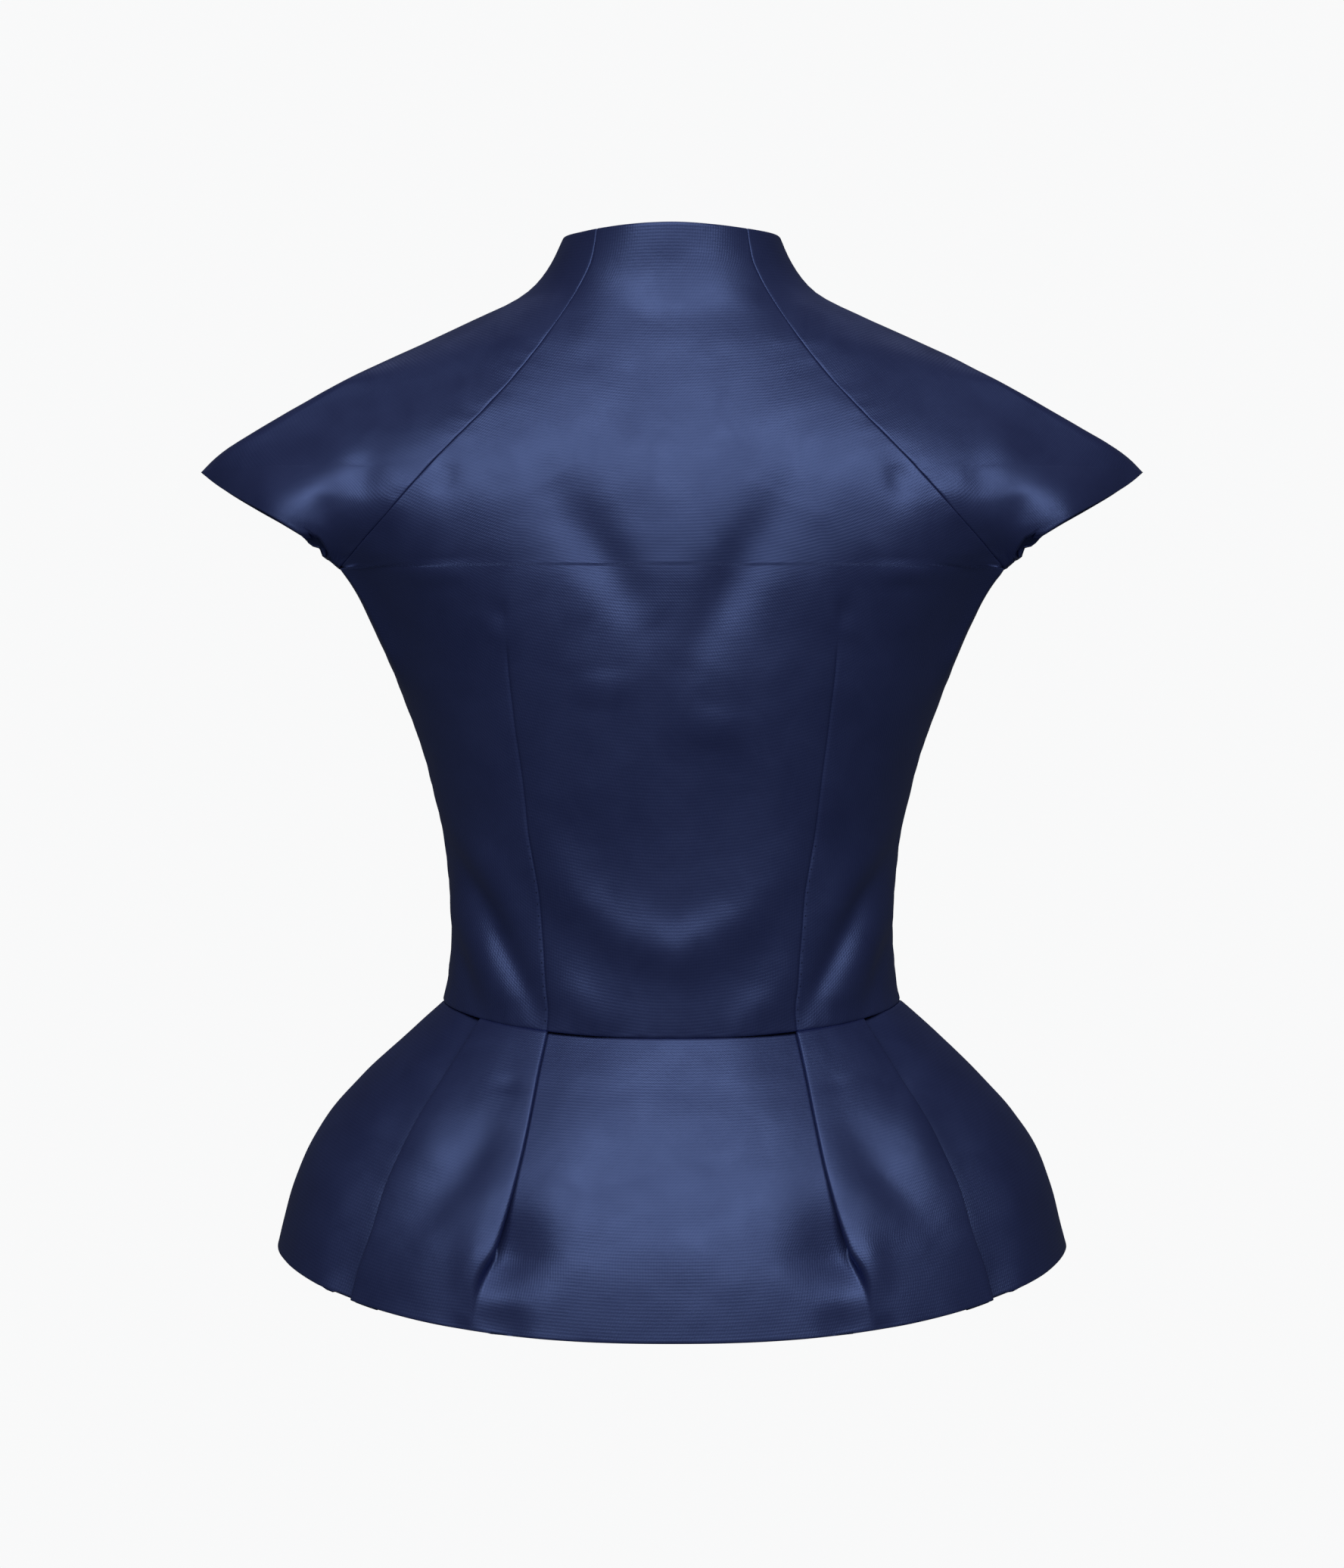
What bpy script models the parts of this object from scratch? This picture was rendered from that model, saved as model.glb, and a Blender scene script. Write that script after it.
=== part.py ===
# A fitted satin top with a funnel neck, cap sleeves and a pleated peplum, filled out as it is worn.
# Metres, +Z up. The back of the garment faces -Y. The origin is the middle of the neck, where the
# shoulders start. Every panel is a thin closed wall, laid on rings worked out from the tables below.

import math

import bmesh
import bpy
from mathutils import Vector

# Driving dimensions
MM = 0.001
CLOTH = 1.2 * MM          # satin with its backing
UNDERLAP_CLOTH = 1.0 * MM
SEAM_GAP = 0.3 * MM

COLLAR_SIDE = 41.3 * MM   # height of the collar's top edge at its sides
COLLAR_BACK_RISE = 2.9 * MM
COLLAR_FRONT_DROP = 23.3 * MM
COLLAR_BASE = -15.0 * MM
TIP = -92.5 * MM          # height of the sleeve's outer tip
RING_LOW = -144.0 * MM    # lowest point of the sleeve's hem
SEAM_LOW = -149.0 * MM    # where the raglan seams meet under the arm
RING_HALF_DEPTH = 74.0 * MM
RING_SHAPE = 1.6          # how fast the opening widens below its tip
RING_FULLNESS = 8.0       # how far down its widest place lies
EDGE_PULL = 2.0           # how late a ring turns towards its width at the side
WAIST = -391.7 * MM       # height of the waist seam at the side
WAIST_DIP = {"back": 17.9 * MM, "front": 8.0 * MM}
HEM = -531.1 * MM         # height of the hem at the side
HEM_DIP = {"back": 40.8 * MM, "front": 22.0 * MM}
DIP_POWER = 1.4
DIP_FADE_TOP = -290.0 * MM
DART_TOP = {"back": -190.0 * MM, "front": -222.0 * MM}
DART_SINK = 1.0 * MM
UNDERLAP_HALF_WIDTH = 12.0 * MM
UNDERLAP_END_TRIM = 2.0 * MM

PLEAT_LIFT = 0.8 * MM     # how far the panel between two pleats stands out
PLEAT_EASE = 22.0 * MM    # width over which a lower layer comes back out beside its pleat
RECESS_WIDTH = 15.0 * MM
HOLLOW_DEPTH = 4.0 * MM
HOLLOW_PLACE = 96.0 * MM  # distance of the hem's hollow from the centre line
HOLLOW_HALF_WIDTH = 14.0 * MM
HOLLOW_HALF_SHARE = 0.10

CURVE_SAMPLES = 160
SMALL_ANGLE = 0.0008
SMALL_HEIGHT = 0.0004
QUARTER = math.pi / 2

SATIN_NAVY = (0.030, 0.045, 0.125, 1.0)
BACKING_NAVY = (0.022, 0.030, 0.075, 1.0)


class Table:
    """Rows of named columns in millimetres, read smoothly along the first column."""

    def __init__(self, names, rows, scale=MM, plain=()):
        self.names = names.split()
        self.columns = {}
        for place, name in enumerate(self.names):
            unit = 1.0 if name in plain else scale
            self.columns[name] = [row[place] * unit for row in sorted(rows)]
        self.keys = self.columns[self.names[0]]

    def slope(self, values, place):
        last = len(self.keys) - 1
        steps = []
        for low in (place - 1, place):
            if 0 <= low < last:
                width = self.keys[low + 1] - self.keys[low]
                steps.append((values[low + 1] - values[low]) / width)
        if len(steps) == 1:
            return steps[0]
        if steps[0] * steps[1] <= 0:
            return 0.0
        return 2 * steps[0] * steps[1] / (steps[0] + steps[1])

    def at(self, name, key):
        values = self.columns[name]
        if key <= self.keys[0]:
            return values[0]
        if key >= self.keys[-1]:
            return values[-1]
        low = 0
        while self.keys[low + 1] < key:
            low += 1
        width = self.keys[low + 1] - self.keys[low]
        f = (key - self.keys[low]) / width
        rise = self.slope(values, low) * width
        fall = self.slope(values, low + 1) * width
        start, end = values[low], values[low + 1]
        return (start * (2 * f**3 - 3 * f**2 + 1) + end * (3 * f**2 - 2 * f**3)
                + rise * (f**3 - 2 * f**2 + f) + fall * (f**3 - f**2))


# Outline of collar, shoulder and sleeve top, seen from the back
RIDGE = Table("height half_width", [
    (44.0, 60.5), (38.7, 62.8), (28.4, 67.5), (18.1, 74.0), (11.2, 80.4), (4.3, 90.5),
    (-4.3, 109.0), (-25.8, 154.8), (-47.3, 195.9), (-68.8, 233.3), (-80.0, 251.9),
    (-86.5, 260.6), (-92.5, 267.0)])

# Outline of the sleeve's hem, from its tip to the underarm
SLEEVE_HEM = Table("height half_width", [
    (-92.5, 267.0), (-101.0, 256.0), (-122.6, 219.8), (-133.3, 203.5), (-144.0, 190.3)])

# Outline of the body below the arm
SIDE = Table("height half_width", [
    (-144.0, 190.3), (-149.0, 186.0), (-154.8, 181.9), (-176.3, 171.1), (-219.3, 152.9),
    (-262.3, 138.0), (-305.3, 128.8), (-348.3, 125.3), (-380.6, 127.4), (-391.7, 129.8)])

# Half width that the rings head for in the middle of back and front, where they pass the sleeves
FULLNESS = Table("height half_width", [
    (-47.3, 195.9), (-68.8, 231.0), (-90.0, 254.0), (-110.0, 259.0), (-130.0, 243.0),
    (-150.0, 212.0), (-172.0, 182.0), (-195.0, 163.5), (-219.3, 152.9)])

# Depth of the rings, and how square they are: 2 is an ellipse
DEPTH = Table("height back front square", [
    (44.0, 50.0, 74.0, 2.0), (18.0, 55.0, 72.0, 2.05), (0.0, 61.0, 71.0, 2.15),
    (-26.0, 72.0, 74.0, 2.25), (-58.0, 84.0, 82.0, 2.4), (-92.5, 94.0, 93.0, 2.5),
    (-120.0, 99.0, 103.0, 2.5), (-146.0, 102.0, 112.0, 2.45), (-185.0, 104.0, 123.0, 2.35),
    (-225.0, 101.0, 124.0, 2.3), (-265.0, 96.0, 114.0, 2.25), (-305.0, 91.0, 104.0, 2.2),
    (-345.0, 88.0, 98.0, 2.2), (-391.7, 87.0, 96.0, 2.2)], plain=("square",))

# Peplum rings, by share of the way from waist seam to hem
PEPLUM = Table("share half_width back front square", [
    (0.00, 129.8, 87.0, 96.0, 2.2), (0.15, 153.0, 99.0, 106.0, 2.2),
    (0.30, 175.0, 111.0, 116.0, 2.22), (0.46, 194.8, 122.0, 125.0, 2.24),
    (0.61, 207.3, 131.0, 132.0, 2.26), (0.77, 215.7, 139.0, 138.0, 2.28),
    (1.00, 223.8, 147.0, 144.0, 2.3)], plain=("share", "square"))

# Distance from the centre line of the raglan seam, and of the dart with the line that runs on above it
RAGLAN = Table("height from_centre", [
    (44.0, 42.0), (25.6, 44.7), (9.4, 51.9), (-9.3, 63.1), (-35.6, 81.7), (-63.1, 105.7),
    (-89.9, 131.8), (-121.0, 159.3), (-138.0, 175.5), (-149.0, 186.0)])
DART = Table("height from_centre", [
    (44.0, 20.0), (0.0, 28.0), (-35.6, 40.0), (-92.5, 68.0), (-149.0, 88.0), (-190.0, 91.6),
    (-234.9, 87.6), (-265.8, 83.5), (-295.6, 79.9), (-334.6, 73.5), (-409.6, 69.8)])

# Pleats of the peplum, by share of the way from waist seam to hem: the distance of each folded
# edge from the centre line, the turn of the cloth there, the width tucked under and the space
# between its layers
INNER_PLEAT = Table("share from_centre turn tuck space", [
    (0.00, 69.0, 180.0, 3.0, 0.5), (0.125, 73.3, 180.0, 4.0, 0.5), (0.288, 78.4, 180.0, 5.0, 0.5),
    (0.44, 83.5, 180.0, 5.5, 0.6), (0.555, 88.2, 175.0, 5.0, 0.7), (0.712, 95.9, 150.0, 3.5, 1.2),
    (0.845, 105.2, 100.0, 2.0, 3.0), (1.00, 113.0, 50.0, 1.0, 7.0)], plain=("share", "turn"))
OUTER_PLEAT = Table("share from_centre turn tuck space sink", [
    (0.00, 107.5, 180.0, 4.0, 0.5, 0.0), (0.20, 126.8, 180.0, 7.0, 0.6, 2.0),
    (0.33, 139.0, 180.0, 9.0, 0.8, 4.0), (0.482, 151.6, 180.0, 11.0, 1.1, 6.0),
    (0.598, 159.4, 180.0, 12.0, 1.4, 7.0), (0.763, 167.0, 180.0, 13.0, 1.8, 6.5),
    (0.893, 173.6, 180.0, 14.0, 2.0, 4.5), (1.00, 177.6, 180.0, 14.0, 2.2, 2.5)],
    plain=("share", "turn"))

# Largest folds of the bodice: two ends, reach to either side, and depth, which is negative in a trough
FOLDS = {
    "back": [
        {"start": (-54, -112), "end": (-14, -186), "reach": 11, "depth": -2.6},
        {"start": (56, -112), "end": (10, -208), "reach": 11, "depth": -2.6},
        {"start": (-125, -300), "end": (-84, -374), "reach": 8, "depth": -3.0},
        {"start": (125, -300), "end": (84, -374), "reach": 8, "depth": -3.0},
        {"start": (-112, -338), "end": (-88, -388), "reach": 9, "depth": 1.6},
        {"start": (112, -338), "end": (88, -388), "reach": 9, "depth": 1.6},
    ],
    "front": [
        {"start": (-124, -306), "end": (-86, -366), "reach": 8, "depth": -2.4},
        {"start": (124, -306), "end": (86, -366), "reach": 8, "depth": -2.4},
    ],
}

# Rows of the bodice: zone, number of steps in it
ZONES = [("collar", 4), ("shoulder", 4), ("armhole", 7), ("underarm", 2), ("side", 9)]
SLEEVE_ZONES = ZONES[:4]
PEPLUM_SHARES = (0.0, 0.06, 0.17, 0.31, 0.46, 0.61, 0.75, 0.88, 1.0)
CENTRE_TO_DART = 4
DART_TO_EDGE = 5
SLEEVE_COLUMNS = 7
PLEAT_PANEL_STEPS = {"centre": 5, "middle": 4, "outer": 6}
TURN_STEPS = 3


def mix(a, b, f):
    return a + (b - a) * f


def ease(f):
    f = min(max(f, 0.0), 1.0)
    return f * f * (3 - 2 * f)


def bump(distance, reach):
    return math.exp(-(distance / reach) ** 2)


def dip(angle, depth):
    return depth * abs(math.cos(angle)) ** DIP_POWER


def ring_share(height):
    """Share of the way from the sleeve's tip to the lowest point of its hem."""
    return (TIP - height) / (TIP - RING_LOW)


def ring_depth(height):
    share = min(max(ring_share(height), 0.0), 1.0)
    spread = RING_SHAPE * share * (1 - share) ** 2 * (1 + RING_FULLNESS * share)
    return RING_HALF_DEPTH * math.sqrt(spread)


def last_angle(height, side):
    """Angle at which a ring ends, which is at the sleeve's hem beside the opening."""
    return math.acos(min(ring_depth(height) / DEPTH.at(side, height), 1.0))


def edge_width(height, side):
    """Half width of the whole ring. Beside the sleeve's opening the ring runs on past its hem."""
    if height >= TIP:
        return RIDGE.at("half_width", height)
    if height <= RING_LOW:
        return SIDE.at("half_width", height)
    share = 1 - (ring_depth(height) / DEPTH.at(side, height)) ** 2
    return SLEEVE_HEM.at("half_width", height) / share ** (1 / DEPTH.at("square", height))


def body_width(height, side, angle):
    """Half width of the ring as it counts at an angle, so that the middle stays smooth."""
    edge = edge_width(height, side)
    if height > FULLNESS.keys[-1] or height < FULLNESS.keys[0]:
        return edge
    share = ease(abs(angle) / last_angle(height, side)) ** EDGE_PULL
    return mix(FULLNESS.at("half_width", height), edge, share)


def ring_point(angle, width, depth, square, height, side):
    """Point of a ring, its angle measured from the middle of the back or the front."""
    across = width * abs(math.sin(angle)) ** (2 / square)
    toward = -1 if side == "back" else 1
    return Vector((math.copysign(across, angle), toward * depth * math.cos(angle), height))


def body_point(angle, height, side):
    fade = ease((DIP_FADE_TOP - height) / (DIP_FADE_TOP - WAIST))
    level = height + dip(angle, WAIST_DIP[side]) * fade
    return ring_point(angle, body_width(level, side, angle), DEPTH.at(side, level),
                      DEPTH.at("square", level), height, side)


def peplum_point(angle, share, side):
    top = WAIST - dip(angle, WAIST_DIP[side])
    low = HEM - dip(angle, HEM_DIP[side])
    return ring_point(angle, PEPLUM.at("half_width", share), PEPLUM.at(side, share),
                      PEPLUM.at("square", share), mix(top, low, share), side)


def angle_at(from_centre, width, square):
    share = min(from_centre / width, 1.0)
    return math.asin(share ** (square / 2))


def collar_top(angle, side):
    if side == "back":
        return COLLAR_SIDE + COLLAR_BACK_RISE * math.cos(angle) ** 4
    return COLLAR_SIDE - COLLAR_FRONT_DROP * math.cos(angle) ** 2


def row_height(zone, f, angle, side):
    if zone == "collar":
        return mix(collar_top(angle, side), COLLAR_BASE, f)
    if zone == "shoulder":
        return mix(COLLAR_BASE, TIP, f)
    if zone == "armhole":
        return mix(TIP, RING_LOW, (1 - math.cos(math.pi * f)) / 2)
    if zone == "underarm":
        return mix(RING_LOW, SEAM_LOW, f)
    return mix(SEAM_LOW, WAIST - dip(angle, WAIST_DIP[side]), f)


def rows_of(zones):
    rows = [(zones[0][0], 0.0)]
    for zone, steps in zones:
        rows += [(zone, (step + 1) / steps) for step in range(steps)]
    return rows


def seam_angle(table, zone, f, side):
    """Angle at which a row meets a line of the table, found by repeated trial."""
    angle = QUARTER / 2
    for _ in range(24):
        height = row_height(zone, f, angle, side)
        width = body_width(height, side, angle)
        angle = angle_at(table.at("from_centre", height), width, DEPTH.at("square", height))
    return angle


def edge_angle(zone, f, side):
    if zone == "side" or (zone == "underarm" and f == 1):
        return QUARTER
    return seam_angle(RAGLAN, zone, f, side)


def hem_angle(zone, f, side):
    """Angle of the sleeve's outer edge: the shoulder line, the hem, then the underarm seam."""
    if zone != "armhole":
        return QUARTER
    return last_angle(row_height(zone, f, QUARTER, side), side)


def fold_height(point, side):
    """How far the folds lift the cloth at a point seen square on."""
    total = 0.0
    for fold in FOLDS[side]:
        start = Vector(fold["start"]) * MM
        end = Vector(fold["end"]) * MM
        along = end - start
        here = Vector((point.x, point.z)) - start
        f = min(max(here.dot(along) / along.length_squared, 0.0), 1.0)
        away = (here - along * f).length
        total += fold["depth"] * MM * bump(away, fold["reach"] * MM) * (0.35 + 0.65 * math.sin(math.pi * f))
    return total


def normal_at(place, angle, level):
    """Outward normal of a surface given by angle and level."""
    low, high = (angle - SMALL_ANGLE, angle) if angle > SMALL_ANGLE else (angle, angle + SMALL_ANGLE)
    around = place(high, level) - place(low, level)
    down = place(angle, level + SMALL_HEIGHT) - place(angle, level - SMALL_HEIGHT)
    normal = around.cross(down).normalized()
    here = place(angle, level)
    outward = Vector((here.x, here.y, 0))
    return normal if normal.dot(outward) > 0 else -normal


def evenly(place, start, end, steps):
    """Angles from start to end, spaced evenly along the curve that place draws."""
    angles = [mix(start, end, i / CURVE_SAMPLES) for i in range(CURVE_SAMPLES + 1)]
    points = [place(angle) for angle in angles]
    reach = [0.0]
    for a, b in zip(points, points[1:]):
        reach.append(reach[-1] + (b - a).length)
    result, low = [], 0
    for step in range(steps + 1):
        want = reach[-1] * step / steps
        while low < CURVE_SAMPLES - 1 and reach[low + 1] < want:
            low += 1
        span = reach[low + 1] - reach[low]
        f = (want - reach[low]) / span if span > 0 else 0.0
        result.append(mix(angles[low], angles[low + 1], min(f, 1.0)))
    return result


def body_row(zone, f, side, breaks, sink_at=None):
    """Outer points and normals of one row, between the angles in breaks."""
    def place(angle):
        return body_point(angle, row_height(zone, f, angle, side), side)

    angles = []
    for start, end, steps in breaks:
        angles += evenly(place, start, end, steps)[1 if angles else 0:]
    points, normals = [], []
    for column, angle in enumerate(angles):
        height = row_height(zone, f, angle, side)
        normal = normal_at(lambda a, h: body_point(a, h, side), angle, height)
        point = place(angle)
        lift = fold_height(point, side)
        if column == sink_at and height < DART_TOP[side]:
            lift -= DART_SINK
        points.append(point + normal * lift)
        normals.append(normal)
    return points, normals


def inset(points, normals, gap, sides):
    """Draws the named borders of a grid back by gap, square to each border within the surface."""
    rows, columns = len(points), len(points[0])
    moves = [[Vector() for _ in range(columns)] for _ in range(rows)]
    for r in range(rows):
        for c in range(columns):
            up, down = points[max(r - 1, 0)][c], points[min(r + 1, rows - 1)][c]
            left, right = points[r][max(c - 1, 0)], points[r][min(c + 1, columns - 1)]
            normal = normals[r][c]
            turn = 1 if (down - up).cross(right - left).dot(normal) >= 0 else -1
            if "left" in sides and c == 0:
                moves[r][c] += normal.cross(down - up).normalized() * turn * gap
            if "right" in sides and c == columns - 1:
                moves[r][c] -= normal.cross(down - up).normalized() * turn * gap
            if "top" in sides and r == 0:
                moves[r][c] += (right - left).cross(normal).normalized() * turn * gap
            if "bottom" in sides and r == rows - 1:
                moves[r][c] -= (right - left).cross(normal).normalized() * turn * gap
    for r in range(rows):
        for c in range(columns):
            points[r][c] = points[r][c] + moves[r][c]


def mirrored(grid):
    return [[Vector((-p.x, p.y, p.z)) for p in row] for row in grid]


def back_inward(points, normals, thickness):
    return [[p - n * thickness for p, n in zip(row, facing)] for row, facing in zip(points, normals)]


def satin(name, colour):
    material = bpy.data.materials.new(name)
    material.use_nodes = True
    shader = material.node_tree.nodes["Principled BSDF"]
    shader.inputs["Base Color"].default_value = colour
    shader.inputs["Roughness"].default_value = 0.38
    shader.inputs["Metallic"].default_value = 0.0
    material.diffuse_color = colour
    return material


def cloth_wall(name, outer, inner, collection, carrier, colour=SATIN_NAVY):
    """Closes two matching grids of points into one thin wall."""
    rows, columns = len(outer), len(outer[0])
    mesh = bmesh.new()
    faces = [[[mesh.verts.new(p) for p in row] for row in grid] for grid in (outer, inner)]
    for grid in faces:
        for r in range(rows - 1):
            for c in range(columns - 1):
                mesh.faces.new((grid[r][c], grid[r + 1][c], grid[r + 1][c + 1], grid[r][c + 1]))
    border = [(0, c) for c in range(columns)] + [(r, columns - 1) for r in range(1, rows)]
    border += [(rows - 1, c) for c in range(columns - 2, -1, -1)] + [(r, 0) for r in range(rows - 2, 0, -1)]
    for (r0, c0), (r1, c1) in zip(border, border[1:] + border[:1]):
        mesh.faces.new((faces[0][r0][c0], faces[0][r1][c1], faces[1][r1][c1], faces[1][r0][c0]))
    bmesh.ops.remove_doubles(mesh, verts=mesh.verts, dist=1e-6)
    bmesh.ops.recalc_face_normals(mesh, faces=mesh.faces)
    data = bpy.data.meshes.new(name)
    mesh.to_mesh(data)
    mesh.free()
    data.shade_smooth()
    data.set_sharp_from_angle(angle=math.radians(50))
    data.materials.append(satin(name + "_satin", colour))
    piece = bpy.data.objects.new(name, data)
    piece.parent = carrier
    collection.objects.link(piece)
    return piece


def half_body(side):
    """Grid of half the back or the front, from the middle to the raglan and side seams."""
    points, normals = [], []
    for zone, f in rows_of(ZONES):
        dart = seam_angle(DART, zone, f, side)
        edge = edge_angle(zone, f, side)
        breaks = [(0.0, dart, CENTRE_TO_DART), (dart, edge, DART_TO_EDGE)]
        row, facing = body_row(zone, f, side, breaks, sink_at=CENTRE_TO_DART)
        points.append(row)
        normals.append(facing)
    return points, normals


def back_bodice(collection, carrier):
    points, normals = half_body("back")
    inset(points, normals, SEAM_GAP / 2, ("right", "bottom"))
    inner = back_inward(points, normals, CLOTH)

    def whole(grid):
        return [list(reversed(m[1:])) + row for m, row in zip(mirrored(grid), grid)]

    cloth_wall("back_bodice", whole(points), whole(inner), collection, carrier)


def front_bodices(collection, carrier):
    points, normals = half_body("front")
    inset(points, normals, SEAM_GAP / 2, ("left", "right", "bottom"))
    inner = back_inward(points, normals, CLOTH)
    cloth_wall("front_bodice_right", points, inner, collection, carrier)
    cloth_wall("front_bodice_left", mirrored(points), mirrored(inner), collection, carrier)
    underlap("front_underlap", inner, normals, UNDERLAP_END_TRIM, SEAM_GAP, collection, carrier)


def sleeve_halves(side, collection, carrier):
    """Half a sleeve with its part of the collar, from the raglan seam to the shoulder line."""
    points, normals = [], []
    for zone, f in rows_of(SLEEVE_ZONES):
        start = edge_angle(zone, f, side)
        end = hem_angle(zone, f, side)
        row, facing = body_row(zone, f, side, [(start, end, SLEEVE_COLUMNS)])
        points.append(row)
        normals.append(facing)
    corner_facing = normals[-1][-1]
    gap = SEAM_GAP / 2
    inset(points, normals, gap, ("left", "right"))
    back_of_seam = -1 if side == "back" else 1
    corner = body_point(QUARTER, SEAM_LOW, side) + Vector((0, back_of_seam * gap, 2 * gap))
    points[-1] = [corner] * len(points[-1])
    normals[-1] = [corner_facing] * len(normals[-1])
    inner = back_inward(points, normals, CLOTH)
    cloth_wall(f"sleeve_{side}_right", points, inner, collection, carrier)
    cloth_wall(f"sleeve_{side}_left", mirrored(points), mirrored(inner), collection, carrier)


def turned_edge(turn, tuck, space):
    """Path of a pleat's fold, rising from its lower layer: distance along, height, and facing."""
    foot = space / 2
    crest = CLOTH + space / 2
    path = []
    for step in range(TURN_STEPS + 1):
        a = turn * step / TURN_STEPS
        path.append((foot * math.sin(a), foot * (1 - math.cos(a)), -math.sin(a), math.cos(a)))
    along, up, face_x, face_y = path[-1]
    start_x = along + tuck * math.cos(turn)
    start_y = up + tuck * math.sin(turn)
    middle_x, middle_y = start_x - crest * face_x, start_y - crest * face_y
    for step in range(TURN_STEPS + 1):
        a = turn * (1 - step / TURN_STEPS)
        path.append((middle_x - crest * math.sin(a), middle_y + crest * math.cos(a),
                     -math.sin(a), math.cos(a)))
    back = min(p[0] for p in path)
    return [(x - back, y, face_x, face_y) for x, y, face_x, face_y in path]


def pleated_row(share, side):
    """One row of half a peplum, as places along the ring, heights off it and facings."""
    def place(angle):
        return peplum_point(angle, share, side)

    angles = [mix(0.0, QUARTER, i / CURVE_SAMPLES) for i in range(CURVE_SAMPLES + 1)]
    reach = [0.0]
    for a, b in zip(angles, angles[1:]):
        reach.append(reach[-1] + (place(b) - place(a)).length)

    def along(angle):
        f = angle / QUARTER * CURVE_SAMPLES
        low = min(int(f), CURVE_SAMPLES - 1)
        return mix(reach[low], reach[low + 1], f - low)

    def angle_of(distance):
        low = 0
        while low < CURVE_SAMPLES - 1 and reach[low + 1] < distance:
            low += 1
        span = reach[low + 1] - reach[low]
        return mix(angles[low], angles[low + 1], (distance - reach[low]) / span)

    width, square = PEPLUM.at("half_width", share), PEPLUM.at("square", share)
    edges, folds = [], []
    for table in (INNER_PLEAT, OUTER_PLEAT):
        edges.append(along(angle_at(table.at("from_centre", share), width, square)))
        folds.append(turned_edge(math.radians(table.at("turn", share)), table.at("tuck", share),
                                 table.at("space", share)))
    rise = [fold[-1][1] for fold in folds]
    inner_fold = [(edges[0] + x, PLEAT_LIFT - rise[0] + y, fx, fy) for x, y, fx, fy in folds[0]]
    outer_fold = [(edges[1] - x, PLEAT_LIFT - rise[1] + y, -fx, fy) for x, y, fx, fy in reversed(folds[1])]
    foot = PLEAT_LIFT - rise[0]
    low = PLEAT_LIFT - rise[1]
    sink = OUTER_PLEAT.at("sink", share)
    steps = PLEAT_PANEL_STEPS

    path = []
    for step in range(steps["centre"]):
        s = inner_fold[0][0] * (1 - (1 - step / steps["centre"]) ** 1.5)
        path.append((s, foot * ease(1 - (inner_fold[0][0] - s) / PLEAT_EASE), 0.0, 1.0))
    path += inner_fold
    for step in range(1, steps["middle"]):
        path.append((mix(inner_fold[-1][0], outer_fold[0][0], step / steps["middle"]), PLEAT_LIFT, 0.0, 1.0))
    path += outer_fold
    start = outer_fold[-1][0]
    for step in range(1, steps["outer"] + 1):
        s = mix(start, reach[-1], (step / steps["outer"]) ** 1.25)
        back_out = ease((s - edges[1]) / (PLEAT_EASE + sink * 3))
        hidden = ease((s - start) / max(edges[1] - start, MM))
        path.append((s, low * (1 - back_out) - sink * hidden * bump(s - edges[1], RECESS_WIDTH), 0.0, 1.0))
    return path, angle_of


def half_peplum(side):
    outer, inner, facings = [], [], []
    for share in PEPLUM_SHARES:
        path, angle_of = pleated_row(share, side)
        outer_row, inner_row, facing_row = [], [], []
        for s, height, face_x, face_y in path:
            angle = angle_of(s)
            point = peplum_point(angle, share, side)
            normal = normal_at(lambda a, q: peplum_point(a, q, side), angle, share)
            toward = -1 if side == "back" else 1
            tangent = Vector((0, 0, 1)).cross(normal).normalized() * -toward
            hollow = HOLLOW_DEPTH * bump(point.x - HOLLOW_PLACE, HOLLOW_HALF_WIDTH)
            lift = height - hollow * bump(1 - share, HOLLOW_HALF_SHARE)
            place = point + normal * lift
            facing = tangent * face_x + normal * face_y
            outer_row.append(place)
            inner_row.append(place - facing * CLOTH)
            facing_row.append(normal)
        outer.append(outer_row)
        inner.append(inner_row)
        facings.append(facing_row)
    return outer, inner, facings


def clear_seams(outer, inner, middle_too):
    """Draws a peplum grid back from the waist seam, the side seam and, if asked, the middle."""
    gap = SEAM_GAP / 2
    for grid in (outer, inner):
        for place in range(len(grid[0])):
            grid[0][place] = grid[0][place] - Vector((0, 0, gap))
        for row in grid:
            row[-1] = row[-1] + Vector((0, math.copysign(gap, outer[0][0].y), 0))
            if middle_too:
                row[0] = row[0] + Vector((gap, 0, 0))


def peplum_back(collection, carrier):
    outer, inner, _ = half_peplum("back")
    clear_seams(outer, inner, middle_too=False)

    def whole(grid):
        return [list(reversed(m[1:])) + row for m, row in zip(mirrored(grid), grid)]

    cloth_wall("peplum_back", whole(outer), whole(inner), collection, carrier)


def peplum_fronts(collection, carrier):
    outer, inner, facings = half_peplum("front")
    clear_seams(outer, inner, middle_too=True)
    cloth_wall("peplum_front_right", outer, inner, collection, carrier)
    cloth_wall("peplum_front_left", mirrored(outer), mirrored(inner), collection, carrier)
    underlap("peplum_underlap", inner, facings, SEAM_GAP, UNDERLAP_END_TRIM, collection, carrier)


def at_distance(row, distance):
    """Place on a row of points where it is so far from the centre line."""
    low = 0
    while row[low + 1].x < distance:
        low += 1
    return row[low].lerp(row[low + 1], (distance - row[low].x) / (row[low + 1].x - row[low].x))


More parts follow.
